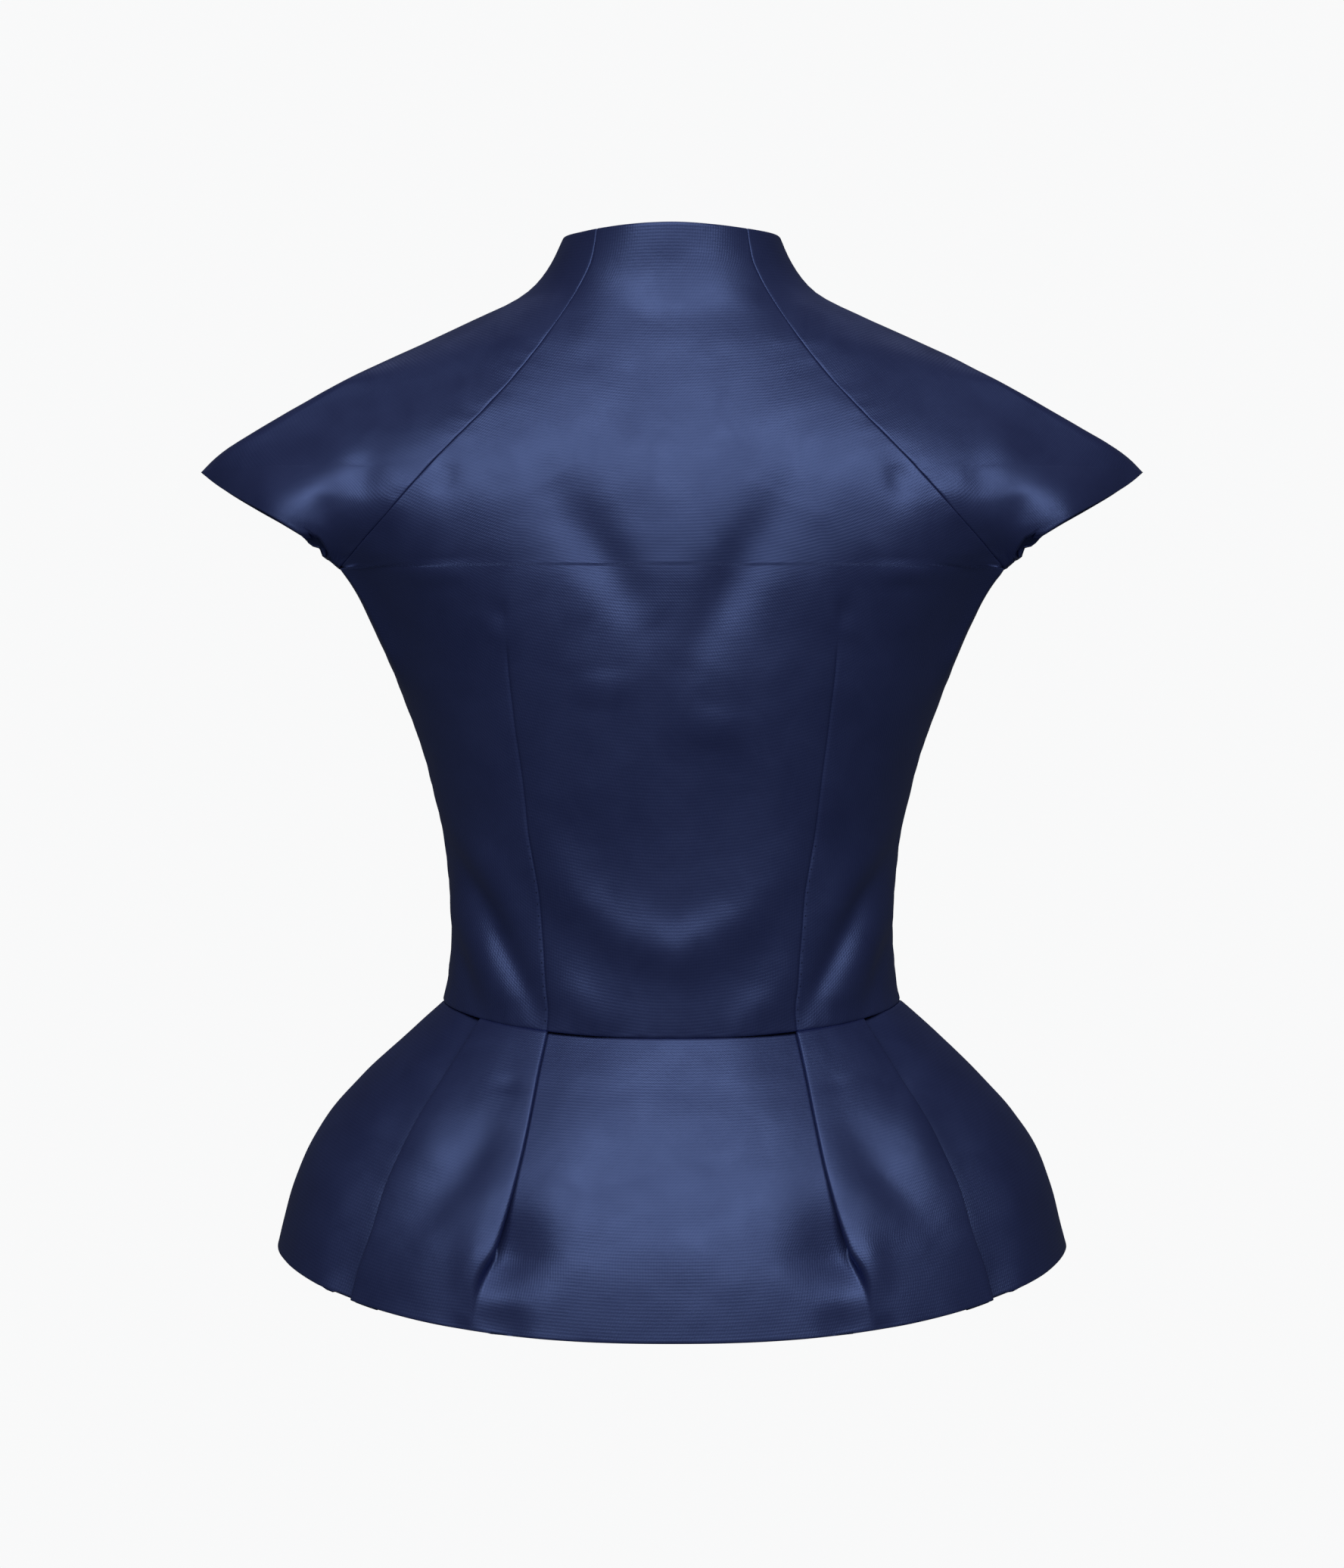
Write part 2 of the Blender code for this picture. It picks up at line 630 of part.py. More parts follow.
def underlap(name, panel, facings, top_trim, low_trim, collection, carrier):
    """A strip behind the centre front opening, from points of a front's inner side moved inwards."""
    strip = [(Vector((0, row[0].y, row[0].z)), at_distance(row, UNDERLAP_HALF_WIDTH), facing[0])
             for row, facing in zip(panel, facings)]

    def trimmed(end, beside, trim):
        f = trim / (beside[0] - end[0]).length
        return end[0].lerp(beside[0], f), end[1].lerp(beside[1], f), end[2]

    strip[0] = trimmed(strip[0], strip[1], top_trim)
    strip[-1] = trimmed(strip[-1], strip[-2], low_trim)
    outer, inner = [], []
    for middle, edge, facing in strip:
        row = [Vector((-edge.x, edge.y, edge.z)), middle, edge]
        outer.append([p - facing * SEAM_GAP for p in row])
        inner.append([p - facing * (SEAM_GAP + UNDERLAP_CLOTH) for p in row])
    cloth_wall(name, outer, inner, collection, carrier, BACKING_NAVY)


def clear_scene():
    for item in list(bpy.data.objects):
        bpy.data.objects.remove(item, do_unlink=True)


def main():
    clear_scene()
    collection = bpy.data.collections.new("draped_top")
    bpy.context.scene.collection.children.link(collection)
    carrier = bpy.data.objects.new("draped_top_origin", None)
    collection.objects.link(carrier)
    back_bodice(collection, carrier)
    front_bodices(collection, carrier)
    sleeve_halves("back", collection, carrier)
    sleeve_halves("front", collection, carrier)
    peplum_back(collection, carrier)
    peplum_fronts(collection, carrier)


main()
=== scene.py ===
# A fitted satin top with a funnel neck, cap sleeves and a pleated peplum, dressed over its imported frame.
# Metres, +Z up. The back of the garment faces -Y, towards the camera.
import math
import bmesh
import bpy
import numpy as np
from mathutils import Matrix, Vector, noise


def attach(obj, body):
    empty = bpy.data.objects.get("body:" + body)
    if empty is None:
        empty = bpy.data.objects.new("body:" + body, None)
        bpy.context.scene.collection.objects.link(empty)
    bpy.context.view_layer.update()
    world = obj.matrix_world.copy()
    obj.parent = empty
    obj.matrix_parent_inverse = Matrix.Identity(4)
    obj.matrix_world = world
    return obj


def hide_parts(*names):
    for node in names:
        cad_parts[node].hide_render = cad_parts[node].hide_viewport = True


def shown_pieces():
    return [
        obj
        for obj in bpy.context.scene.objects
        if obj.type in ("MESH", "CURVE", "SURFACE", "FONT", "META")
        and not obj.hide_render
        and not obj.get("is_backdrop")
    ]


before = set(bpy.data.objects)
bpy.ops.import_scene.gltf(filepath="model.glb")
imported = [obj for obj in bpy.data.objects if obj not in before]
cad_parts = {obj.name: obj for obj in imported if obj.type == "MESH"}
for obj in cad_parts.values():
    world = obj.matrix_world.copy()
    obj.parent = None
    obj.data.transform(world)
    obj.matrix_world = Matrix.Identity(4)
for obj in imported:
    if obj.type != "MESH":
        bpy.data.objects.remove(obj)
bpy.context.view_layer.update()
print("frame loaded")

mm = 0.001
quarter = math.pi / 2

# sizes of the worn form in millimetres, the same as in the solids
formSizes = {
    "collarSide": 41.3, "collarBackRise": 2.9, "collarFrontDrop": 23.3, "collarBase": -15.0,
    "tip": -92.5, "ringLow": -144.0, "seamLow": -149.0, "ringHalfDepth": 74.0,
    "waist": -391.7, "waistDipBack": 17.9, "waistDipFront": 8.0, "dipFadeTop": -290.0,
    "hem": -531.1, "hemDipBack": 40.8, "hemDipFront": 22.0,
    "cloth": 1.2, "wall": 1.0, "seamGap": 0.01,
}
form = {name: value * mm for name, value in formSizes.items()}
formShares = {"ringShape": 1.6, "ringFullness": 8.0, "edgePull": 2.0, "dipPower": 1.4}


class Table:  # named columns in millimetres, read smoothly along the first one
    def __init__(self, names, rows, plain=()):
        values = np.array(sorted(rows), float)
        self.columns = {}
        for place, name in enumerate(names.split()):
            self.columns[name] = values[:, place] * (1.0 if name in plain else mm)
        self.keys = self.columns[names.split()[0]]

    def at(self, name, key):
        values = self.columns[name]
        steps = np.diff(values) / np.diff(self.keys)
        low, high = steps[:-1], steps[1:]
        total = np.where(low + high == 0, 1.0, low + high)
        slope = np.concatenate((steps[:1], np.where(low * high > 0, 2 * low * high / total, 0.0), steps[-1:]))
        key = np.clip(np.asarray(key, float), self.keys[0], self.keys[-1])
        i = np.clip(np.searchsorted(self.keys, key, side="right") - 1, 0, len(self.keys) - 2)
        width = self.keys[i + 1] - self.keys[i]
        f = (key - self.keys[i]) / width
        return (values[i] * (2 * f**3 - 3 * f**2 + 1) + values[i + 1] * (3 * f**2 - 2 * f**3)
                + slope[i] * width * (f**3 - 2 * f**2 + f) + slope[i + 1] * width * (f**3 - f**2))


# outlines seen from the back
shoulderLine = Table("height halfWidth", [
    (44.0, 60.5), (38.7, 62.8), (28.4, 67.5), (18.1, 74.0), (11.2, 80.4), (4.3, 90.5),
    (-4.3, 109.0), (-25.8, 154.8), (-47.3, 195.9), (-68.8, 233.3), (-80.0, 251.9),
    (-86.5, 260.6), (-92.5, 267.0)])
sleeveHem = Table("height halfWidth", [
    (-92.5, 267.0), (-101.0, 256.0), (-122.6, 219.8), (-133.3, 203.5), (-144.0, 190.3)])
sideLine = Table("height halfWidth", [
    (-144.0, 190.3), (-149.0, 186.0), (-154.8, 181.9), (-176.3, 171.1), (-219.3, 152.9),
    (-262.3, 138.0), (-305.3, 128.8), (-348.3, 125.3), (-380.6, 127.4), (-391.7, 129.8)])
fullness = Table("height halfWidth", [
    (-47.3, 195.9), (-68.8, 231.0), (-90.0, 254.0), (-110.0, 259.0), (-130.0, 243.0),
    (-150.0, 212.0), (-172.0, 182.0), (-195.0, 163.5), (-219.3, 152.9)])
depth = Table("height back front square", [
    (44.0, 59.0, 74.0, 2.0), (18.0, 60.5, 72.0, 2.05), (0.0, 63.0, 71.0, 2.15),
    (-26.0, 72.0, 74.0, 2.25), (-58.0, 84.0, 82.0, 2.4), (-92.5, 94.0, 93.0, 2.5),
    (-120.0, 99.0, 103.0, 2.5), (-146.0, 102.0, 112.0, 2.45), (-185.0, 104.0, 123.0, 2.35),
    (-225.0, 101.0, 124.0, 2.3), (-265.0, 96.0, 114.0, 2.25), (-305.0, 91.0, 104.0, 2.2),
    (-345.0, 88.0, 98.0, 2.2), (-391.7, 87.0, 96.0, 2.2)], plain=("square",))
peplumRing = Table("share halfWidth back front square", [
    (0.00, 129.8, 87.0, 96.0, 2.2), (0.15, 153.0, 99.0, 106.0, 2.2),
    (0.30, 175.0, 111.0, 116.0, 2.22), (0.46, 194.8, 122.0, 125.0, 2.24),
    (0.61, 207.3, 131.0, 132.0, 2.26), (0.77, 215.7, 139.0, 138.0, 2.28),
    (1.00, 223.8, 147.0, 144.0, 2.3)], plain=("share", "square"))

# seams, by their distance from the centre line
raglanSeam = Table("height fromCentre", [
    (44.0, 42.0), (25.6, 44.7), (9.4, 51.9), (-9.3, 63.1), (-35.6, 81.7), (-63.1, 105.7),
    (-89.9, 131.8), (-121.0, 159.3), (-138.0, 175.5), (-149.0, 186.0)])
dartLine = Table("height fromCentre", [
    (44.0, 20.0), (0.0, 28.0), (-35.6, 40.0), (-92.5, 68.0), (-149.0, 88.0), (-190.0, 91.6),
    (-234.9, 87.6), (-265.8, 83.5), (-295.6, 79.9), (-334.6, 73.5), (-409.6, 69.8)])

# the two pleats of each half of the peplum
innerPleat = Table("share fromCentre turn tuck space", [
    (0.00, 69.0, 180.0, 3.0, 0.5), (0.125, 73.3, 180.0, 4.0, 0.5), (0.288, 78.4, 180.0, 5.0, 0.5),
    (0.44, 83.5, 180.0, 5.5, 0.6), (0.555, 88.2, 172.0, 5.0, 1.0), (0.70, 95.0, 135.0, 3.5, 3.0),
    (0.82, 101.5, 70.0, 2.0, 5.0), (0.90, 105.5, 32.0, 1.0, 7.0), (1.00, 109.0, 12.0, 0.3, 8.0)], plain=("share", "turn"))
outerPleat = Table("share fromCentre turn tuck space sink", [
    (0.00, 107.5, 180.0, 4.0, 0.5, 0.0), (0.20, 126.8, 180.0, 7.0, 0.6, 2.0),
    (0.33, 139.0, 180.0, 9.0, 0.8, 4.0), (0.482, 151.6, 180.0, 11.0, 1.1, 6.0),
    (0.598, 159.4, 180.0, 12.0, 1.4, 7.0), (0.763, 167.0, 180.0, 13.0, 1.8, 6.5),
    (0.893, 173.6, 180.0, 14.0, 2.0, 4.5), (1.00, 177.6, 180.0, 14.0, 2.2, 2.5)],
    plain=("share", "turn"))


def mix(a, b, f):
    return a + (b - a) * f


def ease(f):
    f = np.clip(f, 0.0, 1.0)
    return f * f * (3 - 2 * f)


def bump(distance, reach):
    return np.exp(-(distance / reach) ** 2)


def lengthAlong(line):
    steps = np.linalg.norm(np.diff(line, axis=0), axis=-1)
    return np.concatenate((np.zeros_like(steps[:1]), np.cumsum(steps, axis=0)))


# ---- the worn form ----

def dip(angle, amount):
    return amount * np.abs(np.cos(angle)) ** formShares["dipPower"]


def ringDepth(height):
    share = np.clip((form["tip"] - height) / (form["tip"] - form["ringLow"]), 0.0, 1.0)
    spread = formShares["ringShape"] * share * (1 - share) ** 2 * (1 + formShares["ringFullness"] * share)
    return form["ringHalfDepth"] * np.sqrt(spread)


def lastAngle(height, side):
    return np.arccos(np.minimum(ringDepth(height) / depth.at(side, height), 1.0))


def edgeWidth(height, side):
    share = np.maximum(1 - (ringDepth(height) / depth.at(side, height)) ** 2, 1e-9)
    beside = sleeveHem.at("halfWidth", height) / share ** (1 / depth.at("square", height))
    low = np.where(height <= form["ringLow"], sideLine.at("halfWidth", height), beside)
    return np.where(height >= form["tip"], shoulderLine.at("halfWidth", height), low)


def bodyWidth(height, side, angle):
    edge = edgeWidth(height, side)
    share = ease(np.abs(angle) / lastAngle(height, side)) ** formShares["edgePull"]
    outside = (height > fullness.keys[-1]) | (height < fullness.keys[0])
    return np.where(outside, edge, mix(fullness.at("halfWidth", height), edge, share))


def ringPoint(angle, width, deep, square, height, side):
    toward = -1 if side == "back" else 1
    across = np.sign(angle) * width * np.abs(np.sin(angle)) ** (2 / square)
    return np.stack((across, toward * deep * np.cos(angle), height + 0 * across), axis=-1)


def bodyPoint(angle, height, side):
    fade = ease((form["dipFadeTop"] - height) / (form["dipFadeTop"] - form["waist"]))
    level = height + dip(angle, waistDip(side)) * fade
    return ringPoint(angle, bodyWidth(level, side, angle), depth.at(side, level),
                     depth.at("square", level), height, side)


def waistDip(side):
    return form["waistDipBack"] if side == "back" else form["waistDipFront"]


def hemDip(side):
    return form["hemDipBack"] if side == "back" else form["hemDipFront"]


def peplumPoint(angle, share, side):
    top = form["waist"] - dip(angle, waistDip(side))
    low = form["hem"] - dip(angle, hemDip(side))
    return ringPoint(angle, peplumRing.at("halfWidth", share), peplumRing.at(side, share),
                     peplumRing.at("square", share), mix(top, low, share), side)


def rowHeight(zone, f, angle, side):
    if zone == "collar":
        rise = form["collarBackRise"] * np.cos(angle) ** 4
        drop = form["collarFrontDrop"] * np.cos(angle) ** 2
        top = form["collarSide"] + (rise if side == "back" else -drop)
        return mix(top, form["collarBase"], f)
    if zone == "shoulder":
        return mix(form["collarBase"], form["tip"], f) + 0 * angle
    if zone == "armhole":
        return mix(form["tip"], form["ringLow"], (1 - math.cos(math.pi * f)) / 2) + 0 * angle
    if zone == "underarm":
        return mix(form["ringLow"], form["seamLow"], f) + 0 * angle
    return mix(form["seamLow"], form["waist"] - dip(angle, waistDip(side)), f)


def seamAngle(table, zone, f, side):
    angle = np.float64(quarter / 2)
    for trial in range(24):
        height = rowHeight(zone, f, angle, side)
        share = np.minimum(table.at("fromCentre", height) / bodyWidth(height, side, angle), 1.0)
        angle = np.arcsin(share ** (depth.at("square", height) / 2))
    return float(angle)


def raglanAngle(zone, f, side):
    if zone == "side" or (zone == "underarm" and f == 1):
        return quarter
    return seamAngle(raglanSeam, zone, f, side)


def outerAngle(zone, f, side):
    if zone != "armhole":
        return quarter
    return float(lastAngle(rowHeight(zone, f, quarter, side), side))


# ---- grids of points, close together beside the seams ----

closeLines = np.array([0.0, 0.35, 0.75, 1.2, 1.9, 3.0]) * mm


def spread(total, steps, closeStart, closeEnd):
    size = min(1.0, total / (30 * mm))
    head = closeLines * size if closeStart else np.array([0.0])
    tail = total - closeLines[::-1] * size if closeEnd else np.array([total])
    middle = np.linspace(head[-1], tail[0], steps + 3 - len(head) - len(tail))[1:-1]
    return np.concatenate((head, middle, tail))


def rowsOf(zones):
    rows = []
    for zone, steps, size, closeStart, closeEnd in zones:
        places = spread(size * mm, steps, closeStart, closeEnd) / (size * mm)
        rows += [(zone, float(f)) for f in (places if not rows else places[1:])]
    return rows


def rowPoints(zone, f, side, breaks):
    angles = []
    for start, end, steps, closeStart, closeEnd in breaks:
        trial = np.linspace(start, end, 260)
        reach = lengthAlong(bodyPoint(trial, rowHeight(zone, f, trial, side), side))
        found = np.interp(spread(reach[-1], steps, closeStart, closeEnd), reach, trial)
        angles.append(found[1 if angles else 0:])
    angles = np.concatenate(angles)
    return bodyPoint(angles, rowHeight(zone, f, angles, side), side)


def gridNormals(points):
    normals = np.cross(np.gradient(points, axis=1), np.gradient(points, axis=0))
    size = np.linalg.norm(normals, axis=2)
    for row in range(1, len(points)):
        bare = size[row] < 1e-11
        normals[row][bare] = normals[row - 1][bare]
    normals /= np.maximum(np.linalg.norm(normals, axis=2, keepdims=True), 1e-12)
    inward = np.sum(normals * points * (1, 1, 0), axis=2, keepdims=True) < 0
    return np.where(inward, -normals, normals)


def borderDistance(points):
    across = np.stack([lengthAlong(row) for row in points])
    down = lengthAlong(points)
    return {"left": across, "right": across[:, -1:] - across, "top": down, "bottom": down[-1:] - down}


def rolledEdges(distance, sides, turnIn=0.4 * mm, reach=1.3 * mm):
    lift = 0
    for side in sides:
        lift = lift - turnIn * np.clip(1 - distance[side] / reach, 0, 1) ** 2
    return lift


def drawBack(points, sides, gap):
    for side in sides:
        if side == "left":
            move = points[:, 1] - points[:, 0]
        elif side == "right":
            move = points[:, -2] - points[:, -1]
        elif side == "top":
            move = points[1] - points[0]
        else:
            move = points[-2] - points[-1]
        move = move / np.maximum(np.linalg.norm(move, axis=1, keepdims=True), gap * 2) * gap
        if side == "left":
            points[:, 0] += move
        elif side == "right":
            points[:, -1] += move
        elif side == "top":
            points[0] += move
        else:
            points[-1] += move


def foldLift(points, folds):
    x, z = points[..., 0], points[..., 2]
    lift = np.zeros_like(x)
    for line, reach, height, sharpness in folds:
        corners = np.array(line, float) * mm
        lengths = np.hypot(*np.diff(corners, axis=0).T)
        starts = np.concatenate(([0.0], np.cumsum(lengths)))
        nearest, share = np.full_like(x, 9.0), np.zeros_like(x)
        for i, length in enumerate(lengths):
            dx, dz = (corners[i + 1] - corners[i]) / length
            f = np.clip((x - corners[i, 0]) * dx + (z - corners[i, 1]) * dz, 0, length)
            away = np.hypot(x - corners[i, 0] - f * dx, z - corners[i, 1] - f * dz)
            share = np.where(away < nearest, (starts[i] + f) / starts[-1], share)
            nearest = np.minimum(nearest, away)
        fade = 0.3 + 0.7 * np.sin(math.pi * share)
        lift += height * mm * np.exp(-(nearest / (reach * mm)) ** sharpness) * fade
    return lift * ease(np.abs(points[..., 1]) / (18 * mm)) * cornerFade(points)


calm = {"cell": 1.0, "down": 25.0, "across": 9.0, "from": -240.0, "to": 16.0, "width": 276.0}


def calmMap(side):  # the surface's depth over a plain grid, with hard changes beside the armholes evened out
    x = np.arange(0, calm["width"], calm["cell"]) * mm
    z = np.arange(calm["from"], calm["to"], calm["cell"]) * mm
    plain, known = np.zeros((len(z), len(x))), np.zeros((len(z), len(x)))
    for i, height in enumerate(z):
        line = bodyPoint(np.linspace(0, float(lastAngle(height, side)), 400), height, side)
        plain[i] = np.interp(x, line[:, 0], line[:, 1])
        known[i] = x <= line[-1, 0]

    def blurred(grid):
        for axis, reach in ((0, calm["down"]), (1, calm["across"])):
            steps = np.arange(-2 * reach, 2 * reach + 1, calm["cell"])
            kernel = bump(steps, reach)
            grid = np.apply_along_axis(lambda line: np.convolve(line, kernel, "same"), axis, grid)
        return grid

    return blurred(plain * known) / np.maximum(blurred(known), 1e-9)


calmMaps = {side: calmMap(side) for side in ("back", "front")}


def calmed(points, side):
    depths = calmMaps[side]
    height = points[..., 2]
    fx = np.clip(np.abs(points[..., 0]) / (calm["cell"] * mm), 0, depths.shape[1] - 1.001)
    fz = np.clip((height / mm - calm["from"]) / calm["cell"], 0, depths.shape[0] - 1.001)
    i, j = fx.astype(int), fz.astype(int)
    u, v = fx - i, fz - j
    even = mix(mix(depths[j, i], depths[j, i + 1], u), mix(depths[j + 1, i], depths[j + 1, i + 1], u), v)
    amount = ease(np.abs(points[..., 1]) / (24 * mm))
    amount = amount * ease((height + 225 * mm) / (30 * mm)) * ease((-15 * mm - height) / (30 * mm))
    result = points.copy()
    result[..., 1] = mix(result[..., 1], even, amount)
    return result


def cornerFade(points):  # nothing is lifted right under the arm, where four pieces meet
    away = np.hypot(np.abs(points[..., 0]) - sideLine.at("halfWidth", form["seamLow"]), points[..., 1])
    return ease(np.hypot(away, points[..., 2] - form["seamLow"]) / (34 * mm))


def bothSides(folds):
    return folds + [([(-x, z) for x, z in line], *rest) for line, *rest in folds]


def unevenness(points, strength, seed):
    lift = np.zeros(points.shape[:2])
    for r, row in enumerate(points):
        for c, p in enumerate(row):
            wide = noise.noise(Vector(p) * 24 + Vector((seed, 0, 0)))
            small = noise.noise(Vector(p) * 62 + Vector((0, seed, 0)))
            lift[r, c] = strength * (0.45 * wide + 0.14 * small) * mm
    return lift * cornerFade(points)


def puckers(distance, along, amount, step, reach, seed):
    wave = np.sin(along / step * math.tau + 1.7 * np.sin(along / (step * 3.1) * math.tau + seed) + seed)
    return amount * wave * np.exp(-distance / reach) * np.clip(distance / (2 * mm), 0, 1)


# ---- finishes ----

class Wire:  # a shader socket that plain maths works on
    def __init__(self, finish, socket):
        self.finish, self.socket = finish, socket

    def maths(self, operation, *values):
        return self.finish.add("ShaderNodeMath", {"operation": operation}, dict(enumerate(values)))

    def __add__(self, other):
        return self.maths("ADD", self, other)

    def __radd__(self, other):
        return self.maths("ADD", other, self)

    def __sub__(self, other):
        return self.maths("SUBTRACT", self, other)

    def __rsub__(self, other):
        return self.maths("SUBTRACT", other, self)

    def __mul__(self, other):
        return self.maths("MULTIPLY", self, other)

    def __rmul__(self, other):
        return self.maths("MULTIPLY", other, self)


class Finish:  # a material and the nodes that make it
    def __init__(self, name, colour):
        self.material = bpy.data.materials.new(name)
        self.material.use_nodes = True
        self.material.diffuse_color = colour
        self.shader = self.material.node_tree.nodes["Principled BSDF"]

    def add(self, kind, settings, sockets, out=0):
        node = self.material.node_tree.nodes.new(kind)
        for name, value in settings.items():
            setattr(node, name, value)
        self.fill(node, sockets)
        return Wire(self, node.outputs[out])

    def fill(self, node, sockets):
        for name, value in sockets.items():
            if isinstance(value, Wire):
                self.material.node_tree.links.new(value.socket, node.inputs[name])
            else:
                node.inputs[name].default_value = value


def satinFinish(name, look):
    finish = Finish(name, look["light"])
    cloth = finish.add("ShaderNodeUVMap", {"uv_map": "cloth"}, {})
    across = finish.add("ShaderNodeSeparateXYZ", {}, {0: cloth}, out="X")
    along = finish.add("ShaderNodeSeparateXYZ", {}, {0: cloth}, out="Y")
    place = finish.add("ShaderNodeTexCoord", {}, {}, out="Object")
    turns = math.tau / look["pitch"]
    rising = cloth.maths("SINE", (across + along * 0.8) * turns)
    falling = cloth.maths("SINE", (across - along * 0.8) * turns)
    lozenge = rising * falling
    clouds = finish.add("ShaderNodeTexNoise", {}, {"Vector": place, "Scale": 14.0, "Detail": 2.0})
    slubs = finish.add("ShaderNodeTexNoise", {}, {"Vector": cloth, "Scale": 900.0, "Detail": 2.0})
    soft = finish.add("ShaderNodeTexNoise", {}, {"Vector": place, "Scale": 70.0, "Detail": 3.0})
    # this noise paints soft patches of sheen into the colour, and also varies the roughness
    roughnessAndPaintedSheen = finish.add("ShaderNodeTexNoise", {}, {"Vector": place, "Scale": 38.0, "Detail": 4.0, "Distortion": 0.6})
    # shade mixes the woven lozenges, random tone and slubs with the painted sheen patches
    shade = 0.5 + lozenge * look["weaveColour"] + (clouds - 0.5) * 0.9 + (slubs - 0.5) * 0.6 + (roughnessAndPaintedSheen - 0.5) * 0.6
    colour = finish.add("ShaderNodeMix", {"data_type": "RGBA"}, {0: shade, 6: look["dark"], 7: look["light"]}, out=2)
    height = lozenge * look["weaveHeight"] + slubs * look["slubHeight"] + soft * look["softHeight"]
    surface = finish.add("ShaderNodeBump", {}, {"Strength": 1.0, "Distance": mm, "Height": height})
    finish.fill(finish.shader, {
        "Base Color": colour, "Roughness": look["roughness"] + (clouds - 0.5) * 0.14 + (roughnessAndPaintedSheen - 0.5) * 0.22 - lozenge * 0.03,
        "Normal": surface, "IOR": look["ior"], "Specular IOR Level": look["shine"], "Specular Tint": look["shineTint"],
        "Sheen Weight": look["sheen"], "Sheen Roughness": 0.45, "Sheen Tint": look["shineTint"]})
    return finish.material


satinLook = {
    "light": (0.038, 0.050, 0.172, 1.0), "dark": (0.020, 0.026, 0.110, 1.0), "pitch": 3.0 * mm,
    "weaveColour": 0.28, "weaveHeight": 0.022, "slubHeight": 0.03, "softHeight": 0.18,
    "roughness": 0.43, "ior": 1.9, "shine": 1.0, "shineTint": (0.32, 0.46, 1.0, 1.0), "sheen": 0.0,
}
backingLook = dict(satinLook, light=(0.024, 0.034, 0.088, 1.0), dark=(0.015, 0.021, 0.056, 1.0),
                   roughness=0.62, ior=1.5, shine=0.5)
threadLook = dict(satinLook, light=(0.018, 0.024, 0.080, 1.0), dark=(0.010, 0.014, 0.050, 1.0), roughness=0.55, ior=1.5)

satin = satinFinish("navySatin", satinLook)
backing = satinFinish("navySatinReverse", backingLook)
thread = satinFinish("navyThread", threadLook)
print("finishes made")


# ---- panels ----

def pieceFrom(name, sheet, materials, nodes):
    data = bpy.data.meshes.new(name)
    sheet.to_mesh(data)
    sheet.free()
    data.shade_smooth()
    for material in materials:
        data.materials.append(material)
    piece = bpy.data.objects.new(name, data)
    bpy.context.scene.collection.objects.link(piece)
    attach(piece, "root")
    if nodes:
        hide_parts(*nodes)
    return piece


def clothPanel(node, points, materials=(satin, backing), wall=form["wall"]):
    rows, columns = points.shape[0] - 1, points.shape[1] - 1
    across = np.stack([lengthAlong(row) for row in points])
    down = lengthAlong(points)
    sheet = bmesh.new()
    bmesh.ops.create_grid(sheet, x_segments=columns, y_segments=rows, size=1.0)
    sheet.verts.index_update()
    cells = [(round((1 - v.co.y) / 2 * rows), round((v.co.x + 1) / 2 * columns)) for v in sheet.verts]
    for vert, (r, c) in zip(sheet.verts, cells):
        vert.co = points[r, c]
    clothMap = sheet.loops.layers.uv.new("cloth")
    for face in sheet.faces:
        for loop in face.loops:
            r, c = cells[loop.vert.index]
            loop[clothMap].uv = (across[r, c], down[r, c])
    bmesh.ops.remove_doubles(sheet, verts=sheet.verts, dist=1e-6)
    sheet.normal_update()
    outward = sum(f.normal.x * f.calc_center_median().x + f.normal.y * f.calc_center_median().y for f in sheet.faces)
    if outward < 0:
        bmesh.ops.reverse_faces(sheet, faces=sheet.faces)
    area = sum(f.calc_area() for f in sheet.faces)
    piece = pieceFrom(node + "_cloth", sheet, materials, [node])
    thick = piece.modifiers.new("wall", "SOLIDIFY")
    thick.thickness = wall
    thick.offset = -1
    thick.material_offset = len(materials) - 1
    thick.material_offset_rim = 0
    print("%s made, %.4f square metres" % (node, area))
    return piece


def flipped(points):
    return points * (-1, 1, 1)


bodiceRows = rowsOf([("collar", 18, 58, True, False), ("shoulder", 24, 78, False, False),
                     ("armhole", 24, 51, False, False), ("underarm", 3, 5, False, False),
                     ("side", 90, 255, False, True)])
sleeveRows = rowsOf([("collar", 18, 58, True, False), ("shoulder", 30, 78, False, False),
                     ("armhole", 30, 51, False, False), ("underarm", 4, 5, False, False)])
centreToDart, dartToSide, sleeveColumns = 32, 42, 34

